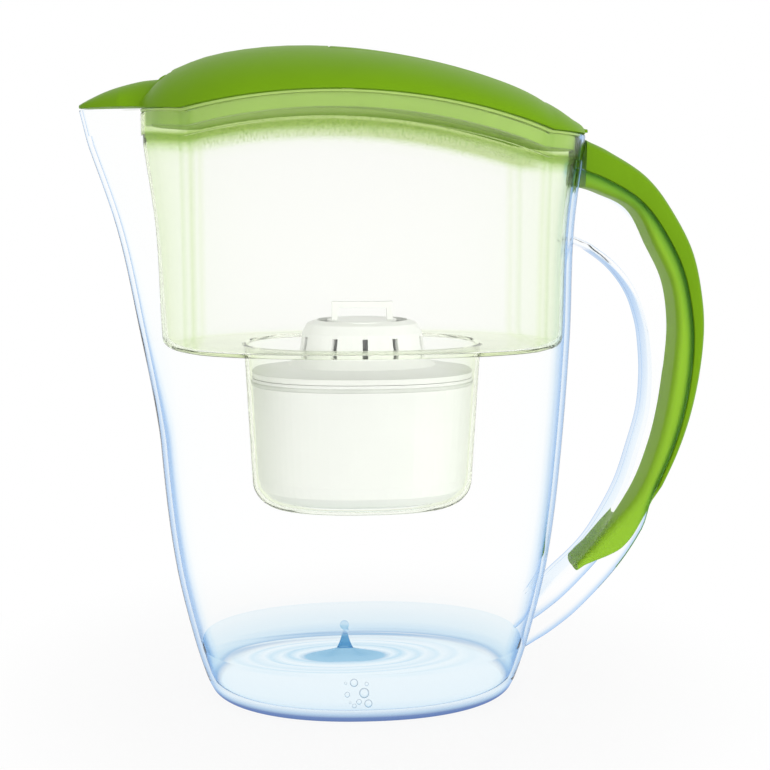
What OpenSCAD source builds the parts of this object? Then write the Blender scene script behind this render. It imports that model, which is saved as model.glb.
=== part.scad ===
// Water filter pitcher: a clear jug with a spout and a loop handle, a funnel that hangs in it
// and holds the filter cartridge, and a domed lid with a flip lid to fill it and a spout flap.
// The origin is on the table under the middle of the jug. +X points to the handle, +Z up.

/* [Jug] */
// Height of the rim above the table at mid length, without its arch
rim_z = 239; // [220:1:260]
// Fall of the rim from the spout to the handle, per millimetre
rim_fall = 0.054; // [0.02:0.002:0.07]
// Rise of the arch in each long side of the rim
arch_rise = 10; // [5:0.5:13]
// Half length of that arch
arch_half = 72; // [64:1:78]
// Half length of the jug at the rim
rim_half_len = 91.3; // [88:0.1:96]
// Half width of the jug at the rim
rim_half_wid = 54.4; // [51:0.2:60]
// Half length of the jug at the table
foot_half_len = 63.8; // [60:0.1:70]
// Half width of the jug at the table
foot_half_wid = 47.5; // [44:0.5:50]
// Squareness of the plan at the rim, where 2 is an ellipse
rim_square = 2.4; // [2.3:0.1:2.8]
// Squareness of the plan at the table
foot_square = 2.2; // [2:0.1:2.6]
// Height of the straight band under the rim
rim_band = 9; // [7:0.5:12]
// Thickness of the jug's wall
jug_wall = 2.2; // [2:0.1:2.6]
// Thickness of the jug's wall beside the funnel's collar
lip_wall = 1.2; // [1:0.1:1.4]
// Thickness of the jug's floor
jug_floor = 3; // [2.5:0.1:5]
// Rounding of the jug's lower edge
foot_round = 2.6; // [1:0.1:3]
// Reach of the spout beyond the rim
spout_reach = 23.6; // [20:0.2:26]
// Half width of the spout where it leaves the jug
spout_half_wid = 24; // [21:0.5:28]
// Height at which the spout starts to grow
spout_start_z = 108; // [90:1:130]

/* [Handle] */
// Width of the handle
handle_wid = 25; // [22:0.5:30]
// Reach of the handle beyond the jug's wall
handle_reach = 57; // [53:1:62]
// Thickness of the walls of the handle's channel
handle_wall = 2.4; // [2:0.1:3]
// Rounding of the handle on the finger side
handle_round = 6; // [4:0.5:8]
// Crown of the grip's outer face
grip_round = 7; // [4:0.5:9]
// Room between the grip and the channel
grip_room = 0.3; // [0.2:0.05:0.5]

/* [Funnel] */
// Height of the funnel's floor above the table
funnel_floor_z = 148.5; // [140:0.5:156]
// Thickness of the funnel's walls
funnel_wall = 1.6; // [1.4:0.1:2]
// Height of the funnel's collar
collar_h = 10; // [8:0.5:12]
// Room between the funnel and the jug
funnel_room = 0.4; // [0.3:0.05:0.6]
// Step in of the funnel's ends beyond its side panels
panel_step = 1.5; // [0.5:0.1:2.5]
// Distance by which the funnel's floor is set towards the handle
floor_shift = 1; // [0:0.1:2]
// Depth of the cartridge's socket under the funnel's floor
socket_depth = 69; // [62:0.5:72]
// Half length of the socket at its mouth
socket_half_len = 49.5; // [47:0.5:52]
// Half width of the socket at its mouth
socket_half_wid = 36.3; // [34:0.3:38]
// Taper of the socket from its mouth to its bottom
socket_taper = 3; // [2:0.1:4]
// Rounding of the socket's lower edge
socket_round = 11; // [8:0.5:13]
// Squareness of the socket's plan, where 2 is an ellipse
socket_square = 2.4; // [2.1:0.1:2.8]
// Share of the socket's bottom that is open for the filtered water
outlet_share = 0.62; // [0.5:0.01:0.7]

/* [Cartridge] */
// Room between the cartridge and the socket
cartridge_room = 0.8; // [0.5:0.1:1.5]
// Thickness of the cartridge's walls
cartridge_wall = 1.5; // [1.2:0.1:1.8]
// Depth of the cartridge's flange under the funnel's floor
flange_drop = 11.5; // [9:0.5:14]
// Thickness of the cartridge's flange
flange_t = 2.4; // [2:0.1:3]
// Half length of the dome on the cartridge
dome_half_len = 25; // [22:0.5:29]
// Height of the dome above the flange
dome_h = 21; // [16:0.5:26]
// Thickness of the screens over and under the granules
screen_t = 0.8; // [0.6:0.1:1.2]

/* [Lid] */
// Thickness of the lid's shell
lid_wall = 2.2; // [2:0.1:2.6]
// Room between the lid and the rims it covers
lid_room = 0.35; // [0.3:0.05:0.5]
// Depth to which the lid's skirt hangs in the collar
skirt_h = 6.5; // [4:0.5:8]
// Thickness of the lid's skirt and plate
frame_wall = 1.6; // [1.4:0.1:2]
// Thickness of the shelf on which the lid's shell sits, over the collar
shelf_t = 1.2; // [1:0.1:1.5]
// Room between the skirt and the collar
skirt_room = 0.6; // [0.5:0.05:0.8]

/* [Flip lid] */
// Distance of the flip lid's middle from the jug's middle, towards the handle
flip_x = 33; // [30:0.5:35]
// Half length of the flip lid
flip_half_len = 47; // [43:0.5:49]
// Half width of the flip lid
flip_half_wid = 28; // [25:0.5:31]
// Distance from the flip lid's edge in to the filling hole
hole_inset = 10; // [9:0.5:12]
// Room around the flip lid
flip_room = 0.6; // [0.5:0.05:0.8]
// Flare of the opening under the flip lid, which lets its front edge swing down
opening_flare = 1.4; // [1.2:0.1:2]
// Distance of the hinge behind the flip lid's front edge
flip_hinge_back = 7; // [6.6:0.1:8]
// Depth of the hinge under the lid's surface
flip_hinge_down = 5.3; // [5.2:0.1:5.6]
// Radius of the hinge pins
pin_r = 1.25; // [1:0.05:1.4]
// Running room of the hinge pins
pin_room = 0.05; // [0.03:0.01:0.08]
// Half length of the flip lid's hinge pin
flip_pin_half = 15; // [12:0.5:18]
// Thickness of a hinge ear
ear_t = 3; // [2.4:0.1:4]
// Width of the thumb tab
tab_wid = 24; // [18:0.5:28]
// Overhang of the thumb tab past the end of the rim
tab_over = 0; // [-0.5:0.1:0.8]

/* [Spout flap] */
// Half width of the spout flap
beak_half_wid = 16; // [14:0.5:17]
// Distance of the spout flap's pivot behind the front of the rim
beak_pivot_back = 14.4; // [14:0.1:15.5]
// Height of that pivot above the rim
beak_pivot_up = 7; // [6.9:0.1:7.1]
// Radius of the barrel around that pivot
barrel_r = 6; // [5.7:0.1:6.4]

/* [Hidden] */

around = 64;
side_mark = round(around * 0.2);
corner_mark = round(around * 0.39);
gather = 16;
hair = 0.02;
past = 1;

// Swell of the jug's wall: share of the height, share of the way from foot to rim
wall_curve = [[0, 0], [0.03, 0.12], [0.11, 0.32], [0.24, 0.555], [0.4, 0.71], [0.65, 0.835],
    [0.85, 0.865], [1, 1]];
// Rise of the lid over the rim: share of the half length from spout to handle, height
crown_curve = [[-1, 0], [-0.975, 4.4], [-0.94, 7.8], [-0.885, 13.1], [-0.82, 17],
    [-0.72, 19.5], [-0.5, 20.3], [-0.2, 19.6], [0.18, 17.7], [0.5, 15.9], [0.71, 14.2],
    [0.82, 11.6], [0.935, 5.7], [0.99, 2.8], [1, 0]];
// Rise of the spout flap over the rim: distance beyond the front of the rim, height
beak_curve = [[-14, 12.2], [-9, 11.9], [-2, 11.1], [8, 8.5], [13, 6.7], [18, 4.4], [23, 1.8]];
// Back of the handle by station: distance from the jug's wall, share of the rim's height
handle_back = [[-1, [-1.2, 0.985]], [0, [0.4, 0.972]], [1, [10.4, 0.952]], [2, [26.9, 0.911]],
    [3, [39.1, 0.858]], [4, [50.3, 0.783]], [5, [55.7, 0.695]], [6, [57, 0.611]],
    [7, [55.2, 0.515]], [8, [50.5, 0.427]], [9, [42.3, 0.335]], [10, [32.4, 0.239]],
    [11, [20.2, 0.16]], [12, [9, 0.105]], [13, [-1.2, 0.07]]];
// Finger side of the handle by station, in the same way
handle_front = [[-1, [-1.2, 0.796]], [0, [4.3, 0.787]], [1, [8.9, 0.777]], [2, [18.7, 0.745]],
    [3, [26.3, 0.703]], [4, [30.9, 0.653]], [5, [33.2, 0.606]], [6, [34.6, 0.552]],
    [7, [34.4, 0.49]], [8, [31.4, 0.423]], [9, [27.9, 0.36]], [10, [22, 0.297]],
    [11, [16, 0.249]], [12, [5.6, 0.195]], [13, [-1.2, 0.15]]];
// Edge of the channel by station, as a share of the way from the finger side to the back
channel_edge = [[-1, 0.71], [0, 0.71], [2, 0.74], [4, 0.75], [6, 0.77], [8, 0.8], [9, 0.84],
    [9.5, 1], [13, 1]];
// Inner side of the grip's tongue by station, as the same share
tongue_inner = [[0, 0.56], [1, 0.59], [2, 0.64], [3, 0.56], [4, 0.56], [5, 0.53], [6, 0.47],
    [7, 0.45], [8, 0.5], [9, 0.5], [10, 0.25], [11, 0.14], [11.3, 0.14]];
// Outer side of the grip by station, as the same share
grip_outer = [[0, 1], [9.6, 1], [9.8, 0.97], [10, 0.9], [10.25, 0.75], [10.5, 0.6],
    [10.75, 0.48], [11, 0.38], [11.3, 0.3]];
grip_start = 0.08;
grip_end = 11.3;
cap_end = 9;
cap_fade = 0.3;
tip_taper = 1.2;
back_reach = max([for (mark = handle_back) mark[1][0]]);

band_z = rim_z - rim_band;
collar_drop = collar_h + lid_room;
collar_top = shelf_t + lid_room;
seat = 0.25;
pivot_z = rim_at(-rim_half_len) + beak_pivot_up;
pivot_x = beak_pivot_back - rim_half_len;
hinge_x = flip_x - flip_half_len + flip_hinge_back;
hinge_z = lid_top(hinge_x, flip_pin_half) - flip_hinge_down;
frame_off = lip_wall + funnel_room + funnel_wall + skirt_room;
spout_top_z = rim_at(-rim_half_len);
socket_z = funnel_floor_z - socket_depth;
flange_z = funnel_floor_z - flange_drop;
knuckle_r = pin_r + pin_room + 1.3;
notch_up = 0.4;
beak_ear_t = 2.2;

// Smooth curve through points whose first number grows
function part_of(pts, x, i = 0) = i >= len(pts) - 2 || x < pts[i + 1][0] ? i : part_of(pts, x, i + 1);
function lean(pts, i) =
    let(a = pts[max(0, i - 1)], b = pts[min(len(pts) - 1, i + 1)]) (b[1] - a[1]) / (b[0] - a[0]);
function curve(pts, x) =
    let(i = part_of(pts, x), a = pts[i], b = pts[i + 1], h = b[0] - a[0], t = (x - a[0]) / h,
        t2 = t * t, t3 = t2 * t)
    (2 * t3 - 3 * t2 + 1) * a[1] + (t3 - 2 * t2 + t) * h * lean(pts, i)
    + (3 * t2 - 2 * t3) * b[1] + (t3 - t2) * h * lean(pts, i + 1);

// Plan outlines: a rounded oval with its points drawn together at the spout
function power(v, e) = sign(v) * pow(abs(v), e);
function turn(i) = let(u = 360 * i / around) u + gather * sin(u);
function oval(a, b, e, i) = [a * power(cos(turn(i)), 2 / e), b * power(sin(turn(i)), 2 / e)];
function half_at(a, b, e, x) = b * pow(max(0.0001, 1 - pow(min(1, abs(x / a)), e)), 1 / e);

// Rim and wall of the jug
function rim_at(x) = rim_z - rim_fall * x + arch_rise * max(0, 1 - pow(x / arch_half, 2));
function swell(z) = curve(wall_curve, min(1, max(0, z / band_z)));
function mix(a, b, t) = a + (b - a) * t;
function half_len(z) = mix(foot_half_len, rim_half_len, swell(z));
function half_wid(z) = mix(foot_half_wid, rim_half_wid, swell(z));
function square_at(z) = mix(foot_square, rim_square, swell(z));
function spout_push(z, y) = spout_reach
    * pow(max(0, (z - spout_start_z) / (spout_top_z - spout_start_z)), 1.35)
    * pow(max(0, 1 - pow(y / spout_half_wid, 2)), 2);

// Point of the jug's wall, off inside its outer face, between height z and the rim
function wall_point(i, off, z, to_rim, drop) =
    let(top = oval(rim_half_len, rim_half_wid, rim_square, i),
        h = mix(z, rim_at(top[0]) - drop, to_rim),
        p = oval(half_len(h) - off, half_wid(h) - off, square_at(h), i))
    [p[0], p[1], h];
function jug_ring(off, z, to_rim = 0, drop = 0) =
    [for (i = [0 : around - 1])
        let(p = wall_point(i, off, z, to_rim, drop))
        [p[0] - (p[0] < 0 ? spout_push(p[2], p[1]) : 0), p[1], p[2]]];

// Point of the funnel's wall, which steps in beyond its side panels
function panel(x) = let(t = min(1, max(0, (abs(x) - arch_half + 5) / 6))) t * t * (3 - 2 * t);
function low_at(z) = max(0, (rim_z - collar_h - z) / (rim_z - collar_h - funnel_floor_z));
function funnel_ring(off, z, to_rim = 0, drop = 0) =
    [for (i = [0 : around - 1])
        let(q = wall_point(i, off, z, to_rim, drop), shift = floor_shift * low_at(q[2]),
            p = wall_point(i, off + shift, z, to_rim, drop))
        [p[0] + shift, p[1] * (1 - panel(p[0]) * panel_step / max(8, abs(p[1]))), p[2]]];
function socket_ring(z, off) =
    let(in = off + socket_taper * min(1, (funnel_floor_z - z) / (socket_depth - socket_round)))
    oval_ring(socket_half_len - in, socket_half_wid - in, socket_square, z);
function oval_ring(a, b, e, z) =
    [for (i = [0 : around - 1]) let(p = oval(a, b, e, i)) [p[0], p[1], z]];

// The lid's outer and inner surfaces
function dome(v) = pow(max(0, 1 - pow(min(1, v), 2.4)), 0.55);
function crown(x) = curve(crown_curve, min(1, max(-1, x / rim_half_len)));
function lid_top(x, y) =
    rim_at(x) + crown(x) * dome(abs(y) / half_at(rim_half_len, rim_half_wid, rim_square, x));
function lid_under(x, y) =
    rim_at(x) + max(0, crown(x) - lid_wall)
    * dome(abs(y) / half_at(rim_half_len - lid_wall, rim_half_wid - lid_wall, rim_square, x));

// Plan outline with a straight edge at x = from and a round end at x = to
function tongue(from, to, half, i) =
    let(k = min(i, around - i), side = 2 * i > around ? -1 : 1, mid = (from + to) / 2,
        u = 90 * k / side_mark, nip = k == corner_mark ? 0.6 : 0)
    k < side_mark ? [mid + (to - mid) * power(cos(u), 0.83), side * half * power(sin(u), 0.83)]
    : k <= corner_mark
        ? [mix(mid, from, (k - side_mark) / (corner_mark - side_mark)) + nip, side * (half - nip)]
    : [from, side * half * (around / 2 - k) / (around / 2 - corner_mark)];
function flip_point(i, grow) = tongue(flip_x - flip_half_len - grow,
    flip_x + flip_half_len + grow, flip_half_wid + grow, i);

// Solid between rings of points: closed at both ends, or joined up into a loop
module loft(rings, looped = false) {
    n = len(rings[0]);
    m = len(rings);
    last = looped ? m - 1 : m - 2;
    sides = [for (r = [0 : last], i = [0 : n - 1])
        let(a = r * n + i, b = r * n + (i + 1) % n, s = (r + 1) % m,
            c = s * n + (i + 1) % n, d = s * n + i)
        each [[a, d, c], [a, c, b]]];
    ends = looped ? [] : [[for (i = [0 : n - 1]) i], [for (i = [n - 1 : -1 : 0]) (m - 1) * n + i]];
    polyhedron(points = [for (r = rings) each r], faces = concat(sides, ends), convexity = 10);
}

function handle_at(side, s) =
    let(p = curve(side, s), z = p[1] * rim_z) [half_len(z) + p[0] * handle_reach / back_reach, z];

// Distance of the wall's outer face from the middle at height z and distance y to the side
function wall_x(z, y) =
    half_len(z) * pow(1 - pow(abs(y) / half_wid(z), square_at(z)), 1 / square_at(z));

// Point across the handle at station s: a share of its depth, and a distance to the side
function handle_point(s, share, y) =
    let(front = handle_at(handle_front, s), p = mix(front, handle_at(handle_back, s), share),
        near = min(1, max(0, 1.5 - s, s - 11.5)))
    [p[0] - near * (half_len(p[1]) - wall_x(p[1], y)), y, p[1]];
function depth_at(s) = norm(handle_at(handle_back, s) - handle_at(handle_front, s));

// Half of the channel's section, off inside its outer face, from its edge round to the middle
function channel_half(s, off) =
    let(deep = depth_at(s), r = handle_round - off, half = handle_wid / 2 - off,
        edge = min(1, curve(channel_edge, s)), floor = off / deep)
    concat([[edge, half]], [for (a = [0 : 30 : 90])
        [floor + r * (1 - sin(a)) / deep, half - r + r * cos(a)]]);

// Clear channel of the handle, open along its back
module handle_channel() {
    step = 0.5;
    marks = [-1, -0.5, 0, grip_start, for (s = [step : step : cap_end - step]) s,
        cap_end - cap_fade, for (s = [cap_end : step : 13]) s];
    half = len(channel_half(0, 0));
    rings = [for (s = marks)
        let(outer = channel_half(s, 0), inner = channel_half(s, handle_wall))
        concat(
            [for (k = [0 : half - 1]) handle_point(s, outer[k][0], outer[k][1])],
            [for (k = [half - 1 : -1 : 0]) handle_point(s, outer[k][0], -outer[k][1])],
            [for (k = [0 : half - 1]) handle_point(s, inner[k][0], -inner[k][1])],
            [for (k = [half - 1 : -1 : 0]) handle_point(s, inner[k][0], inner[k][1])])];
    loft_flat(rings, 2 * half);
}

// Clear jug with its spout and the channel of its handle
module jug() {
    heights = [2, 7, 14, 25, 40, 58, 78, 100, 124, 150, 176, 200];
    top = len(heights) - 1;
    rings = concat(
        [jug_ring(foot_round, 0), jug_ring(foot_round * 0.3, foot_round * 0.3)],
        [for (z = heights) jug_ring(0, max(z, foot_round))],
        [for (t = [0.25, 0.5, 0.75, 1]) jug_ring(0, heights[top], t, t * lid_room)],
        [jug_ring(lip_wall, 0, 1, lid_room), jug_ring(lip_wall, 0, 1, collar_drop + lid_room),
            jug_ring(jug_wall, 0, 1, collar_drop + lid_room)],
        [for (t = [0.6, 0.3]) jug_ring(jug_wall, heights[top], t, t * collar_drop)],
        [for (k = [top : -1 : 2]) jug_ring(jug_wall, heights[k])],
        [jug_ring(jug_wall + 0.8, jug_floor + 3), jug_ring(jug_wall + 4, jug_floor)]);
    color([0.86, 0.92, 0.98, 0.4]) union() {
        loft(rings);
        handle_channel();
    }
}

// Half of the grip's section from the tongue to its back: share of the depth, half width
function grip_half(s) =
    let(deep = depth_at(s), fade = min(1, max(0, (s - cap_end) / cap_fade + 1)),
        slim = handle_wid / 2 - handle_wall - grip_room - tip_taper * max(0, s - grip_end + 0.8),
        wide = mix(handle_wid / 2, slim, fade),
        low = curve(tongue_inner, s), high = curve(grip_outer, s),
        edge = min(curve(channel_edge, s) + grip_room / deep,
            high - min(2.4 / deep, (high - low) / 2)),
        crown = min(grip_round * 0.5, (high - edge) * deep * 0.75) / deep,
        turn_in = min(handle_round - handle_wall, (edge - low) * deep * 0.9))
    [[low, slim - turn_in], [low + 0.3 * turn_in / deep, slim - 0.3 * turn_in],
        [low + turn_in / deep, slim], [edge, slim], [edge + hair, wide],
        [high - crown, wide], [high - crown * 0.6, wide - grip_round * 0.08],
        [high - crown * 0.25, wide - grip_round * 0.35], [high, wide - grip_round]];

// Green grip: a cap along the back of the handle, with a tongue in its channel
module grip() {
    step = 0.5;
    marks = [grip_start, for (s = [step : step : cap_end - step]) s, cap_end - cap_fade,
        for (s = [cap_end : step : grip_end - 0.2]) s, grip_end];
    half = len(grip_half(1));
    rings = [for (s = marks) let(side = grip_half(s))
        concat(
            [for (k = [0 : half - 1]) handle_point(s, side[k][0], -side[k][1])],
            [for (k = [half - 1 : -1 : 0]) handle_point(s, side[k][0], side[k][1])])];
    color([0.48, 0.66, 0.12]) loft_flat(rings, half);
}

// Translucent funnel: collar, walls, floor and the socket of the cartridge
module funnel() {
    r = socket_round;
    w = funnel_wall;
    under = funnel_floor_z - w;
    bend = socket_z + r;
    over_lip = lip_wall + funnel_room;
    side = jug_wall + funnel_room;
    rings = [
        outlet_ring(socket_z),
        socket_ring(socket_z, r),
        socket_ring(socket_z + r * 0.13, r * 0.5),
        socket_ring(socket_z + r * 0.5, r * 0.13),
        socket_ring(bend, 0),
        socket_ring(under, 0),
        funnel_ring(side + 6, under),
        funnel_ring(side + 1.4, under + 0.8),
        funnel_ring(side + 0.3, under + 3),
        funnel_ring(side, 176),
        funnel_ring(side, 200),
        funnel_ring(side, 200, 0.5, collar_drop / 2),
        funnel_ring(side, 0, 1, collar_drop),
        funnel_ring(over_lip, 0, 1, collar_drop),
        funnel_ring(over_lip, 0, 1, collar_top),
        funnel_ring(over_lip + w, 0, 1, collar_top),
        funnel_ring(over_lip + w, 0, 1, collar_drop + w),
        funnel_ring(side + w, 0, 1, collar_drop + w * 1.6),
        funnel_ring(side + w, 200, 0.5, collar_drop / 2),
        funnel_ring(side + w, 200),
        funnel_ring(side + w, 176),
        funnel_ring(side + w + 0.3, under + w + 3),
        funnel_ring(side + w + 1.4, under + w + 0.8),
        funnel_ring(side + w + 6, funnel_floor_z),
        socket_ring(funnel_floor_z, w),
        socket_ring(bend, w),
        socket_ring(socket_z + w + r * 0.42, w + r * 0.1),
        socket_ring(socket_z + w + r * 0.1, w + r * 0.45),
        socket_ring(socket_z + w, w + r * 0.9),
        outlet_ring(socket_z + w)];
    color([0.86, 0.94, 0.7, 0.6]) loft(rings, true);
}

function outlet_ring(z) =
    oval_ring(socket_half_len * outlet_share, socket_half_wid * outlet_share, socket_square, z);

// Oval ring of the cartridge at height z, off inside its outer face
function cartridge_ring(z, off) = socket_ring(z, funnel_wall + cartridge_room + off);

// White shell that holds the granules, open in its bottom
module cartridge_shell() {
    r = socket_round;
    w = cartridge_wall;
    low = socket_z + funnel_wall + 0.3;
    color("whitesmoke") loft([
        spout_ring(low),
        cartridge_ring(low, r - 1),
        cartridge_ring(low + r * 0.2, r * 0.42),
        cartridge_ring(low + r * 0.55, r * 0.1),
        cartridge_ring(low + r, 0),
        cartridge_ring(flange_z - flange_t, 0),
        cartridge_ring(flange_z - flange_t, w),
        cartridge_ring(low + r, w),
        cartridge_ring(low + w + r * 0.5, w + r * 0.12),
        cartridge_ring(low + w + r * 0.15, w + r * 0.45),
        cartridge_ring(low + w, w + r - 1),
        spout_ring(low + w)], true);
}

function spout_ring(z) =
    oval_ring(socket_half_len * outlet_share - 3, socket_half_wid * outlet_share - 3, socket_square, z);

// White cap with its dome, water slots and pull loop
module cartridge_cap() {
    w = cartridge_wall;
    a = dome_half_len;
    b = dome_half_len * 0.74;
    slots = 10;
    top = flange_z + dome_h;
    color("white") difference() {
        union() {
            loft([
                cartridge_ring(flange_z - flange_t + 0.2, 0.2),
                cartridge_ring(flange_z, 0.2),
                oval_ring(a + 6, b + 5, 2.3, flange_z + 2.4),
                oval_ring(a + 1.5, b + 1.5, 2.2, flange_z + 6),
                oval_ring(a, b, 2.2, top - 5),
                oval_ring(a - 2, b - 2, 2.2, top - 1.4),
                oval_ring(a - 6, b - 5, 2.2, top),
                oval_ring(a - 6, b - 5, 2.2, top - w),
                oval_ring(a - 3, b - 3, 2.2, top - w - 1.8),
                oval_ring(a - w, b - w, 2.2, top - 6),
                oval_ring(a + 1.5 - w, b + 1.5 - w, 2.2, flange_z + 6 - w),
                cartridge_ring(flange_z - flange_t + 0.2, 6)], true);
            translate([0, 0, top - w]) linear_extrude(w) circle(r = b - 4, $fn = 48);
            for (x = [-1, 1]) translate([x * (b - 7) - 1.2, -2, top - 0.5]) cube([2.4, 4, 8]);
            translate([-(b - 7) - 1.2, -2, top + 5]) cube([2 * (b - 7) + 2.4, 4, 2.4]);
        }
        for (k = [0 : slots - 1]) rotate([0, 0, 18 + k * 360 / slots])
            translate([0, -1.1, flange_z + 7.5]) cube([a + 5, 2.2, dome_h - 14]);
    }
}

// Soft ring that closes the cartridge against the socket's mouth
module cartridge_seal() {
    z = flange_z - flange_t;
    touch = 0.3 - cartridge_room;
    color([0.75, 0.78, 0.8]) loft([
        cartridge_ring(z - 3, -0.05),
        cartridge_ring(z - 2.6, touch),
        cartridge_ring(z - 1.6, touch),
        cartridge_ring(z - 1.2, -0.05)], true);
}

// Fine screens over and under the granules
module screen(z, off) {
    color([0.8, 0.84, 0.86]) loft([cartridge_ring(z, off), cartridge_ring(z + screen_t, off)]);
}

module cartridge_top_screen() {
    screen(flange_z - flange_t - screen_t - 0.3, cartridge_wall + 0.2);
}

module cartridge_bottom_screen() {
    screen(socket_z + funnel_wall + cartridge_wall + 0.5, cartridge_wall + socket_round);
}

// Bed of carbon and resin granules between the screens
module filter_granules() {
    low = socket_z + funnel_wall + cartridge_wall + screen_t + 0.8;
    r = socket_round;
    w = cartridge_wall + 0.3;
    color([0.25, 0.22, 0.2]) loft([
        cartridge_ring(low, w + r),
        cartridge_ring(low + r * 0.45, w + r * 0.3),
        cartridge_ring(low + r, w),
        cartridge_ring(flange_z - flange_t - screen_t - 0.6, w)]);
}

// Green shell of the lid, open under the flip lid and for the spout flap
module lid_shell() {
    steps = [0, 0.012, 0.04, 0.1, 0.2, 0.36, 0.56, 0.78, 1];
    outer = [for (s = steps) [for (i = [0 : around - 1])
        let(o = oval(rim_half_len, rim_half_wid, rim_square, i), f = flip_point(i, flip_room),
            p = s == 0 ? o : mix(o, f, s))
        [p[0], p[1], s == 0 ? rim_at(p[0]) : lid_top(p[0], p[1])]]];
    inner = [for (s = steps) [for (i = [0 : around - 1])
        let(o = oval(rim_half_len - lid_wall, rim_half_wid - lid_wall, rim_square, i),
            f = flip_point(i, flip_room + opening_flare), p = s == 0 ? o : mix(o, f, s))
        [p[0], p[1], s == 0 ? rim_at(p[0]) : min(lid_under(p[0], p[1]), lid_top(p[0], p[1]) - lid_wall)]]];
    n = len(steps);
    color([0.48, 0.66, 0.12]) difference() {
        loft(concat(outer, [for (k = [n - 1 : -1 : 0]) inner[k]]), true);
        beak_slot();
        thumb_notch();
    }
}

module beak_slot() {
    half = beak_half_wid + 0.5;
    deep = rim_half_len + pivot_x;
    translate([pivot_x - deep - past, -half, rim_at(-rim_half_len) - 5])
        cube([deep + past + 0.6, 2 * half, 40]);
    translate([pivot_x, half, pivot_z]) rotate([90, 0, 0])
        cylinder(r = barrel_r + 0.5, h = 2 * half, $fn = 64);
}

// Frame in the lid: skirt, plate with the filling hole, and the ears of both hinges
module lid_frame() {
    w = frame_wall;
    over_lip = lip_wall + funnel_room;
    out = funnel_ring(over_lip, 0, 1, seat);
    in = funnel_ring(frame_off + w, 0, 1, w);
    hole = [for (i = [0 : around - 1]) tongue(hinge_x + knuckle_r + 2,
        flip_x + flip_half_len - hole_inset, flip_half_wid - hole_inset, i)];
    color([0.62, 0.76, 0.3]) difference() {
        union() {
            loft([
                funnel_ring(frame_off, 0, 1, skirt_h),
                funnel_ring(frame_off, 0, 1, shelf_t),
                funnel_ring(over_lip, 0, 1, shelf_t),
                out,
                for (t = [0.1, 0.25, 0.5, 1]) plate_ring(out, hole, t, -seat),
                for (t = [1, 0.5, 0.25, 0.1]) plate_ring(in, hole, t, -w),
                in,
                funnel_ring(frame_off + w, 0, 1, skirt_h)], true);
            for (y = [-1, 1]) flip_ear(y * (flip_pin_half - ear_t / 2));
            for (y = [-1, 1]) beak_ear(y * (beak_half_wid + 0.5 + beak_ear_t / 2));
        }
        pin_bore(hinge_x, hinge_z, 2 * flip_pin_half + 2);
        pin_bore(pivot_x, pivot_z, 2 * (beak_half_wid + beak_ear_t) + 4);
    }
}

function plate_ring(from, to, t, up) = [for (i = [0 : around - 1])
    let(p = mix([from[i][0], from[i][1]], to[i], t)) [p[0], p[1], rim_at(p[0]) + up]];

module pin_bore(x, z, long) {
    translate([x, long / 2, z]) rotate([90, 0, 0]) cylinder(r = pin_r + pin_room, h = long, $fn = 48);
}

module flip_ear(y) {
    foot = rim_at(hinge_x) - 1;
    translate([hinge_x, y + ear_t / 2, hinge_z]) rotate([90, 0, 0])
        cylinder(r = knuckle_r, h = ear_t, $fn = 48);
    translate([hinge_x - 0.6, y - ear_t / 2, foot]) cube([knuckle_r + 0.6, ear_t, hinge_z - foot]);
}

module beak_ear(y) {
    foot = rim_at(pivot_x) - 1;
    translate([pivot_x, y + beak_ear_t / 2, pivot_z]) rotate([90, 0, 0])
        cylinder(r = knuckle_r, h = beak_ear_t, $fn = 48);
    translate([pivot_x - knuckle_r, y - beak_ear_t / 2, foot])
        cube([2 * knuckle_r, beak_ear_t, pivot_z - foot]);
}

// Flip lid: a panel of the dome with its hinge knuckles and its thumb tab
module flip_lid() {
    steps = [0.02, 0.3, 0.6, 0.85, 1];
    mid = [flip_x, 0];
    top = [for (s = steps) [for (i = [0 : around - 1])
        let(p = mix(mid, flip_point(i, 0), s)) [p[0], p[1], lid_top(p[0], p[1])]]];
    low = [for (s = steps) [for (i = [0 : around - 1])
        let(p = mix(mid, flip_point(i, 0), s)) [p[0], p[1], lid_top(p[0], p[1]) - lid_wall]]];
    n = len(steps);
    color([0.48, 0.66, 0.12]) difference() {
        union() {
            loft(concat(low, [for (k = [n - 1 : -1 : 0]) top[k]]));
            for (y = [-1, 1]) flip_knuckle(y * (flip_pin_half - 1.5 * ear_t - 0.4));
            thumb_tab();
        }
        pin_bore(hinge_x, hinge_z, 2 * flip_pin_half + 2);
    }
}

module flip_knuckle(y) {
    translate([hinge_x, y + ear_t / 2, hinge_z]) rotate([90, 0, 0])
        cylinder(r = knuckle_r, h = ear_t, $fn = 48);
    translate([hinge_x - 1.8, y - ear_t / 2, hinge_z])
        cube([1.8 + knuckle_r, ear_t, flip_hinge_down - lid_wall * 0.5]);
}

// Tab that carries the panel on over the lid's end, a little proud of the dome
module thumb_tab() {
    start = flip_x + flip_half_len - 6;
    proud = 0.3;
    n = 6;
    rings = [for (t = [0, 0.25, 0.45, 0.62, 0.76, 0.87, 0.95, 1])
        let(x = mix(start, rim_half_len + tab_over, t), w = tab_wid / 2,
            high = [for (k = [0 : n]) let(y = 2 * w * k / n - w)
                max(lid_top(x, y), rim_at(x) + notch_up + 1.4) + proud],
            low = [for (k = [0 : n]) max(high[k] - lid_wall - 2 * proud, rim_at(x) + notch_up + 0.35)])
        concat(
            [for (k = [0 : n]) [x, 2 * w * k / n - w, high[k]]],
            [for (k = [n : -1 : 0]) [x, 2 * w * k / n - w, low[k]]])];
    loft_flat(rings, n + 1);
}

module thumb_notch() {
    x = flip_x + flip_half_len - 6;
    half = tab_wid / 2 + flip_room;
    translate([x, -half, rim_at(rim_half_len) + notch_up]) cube([rim_half_len - x + past, 2 * half, 40]);
}

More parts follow.
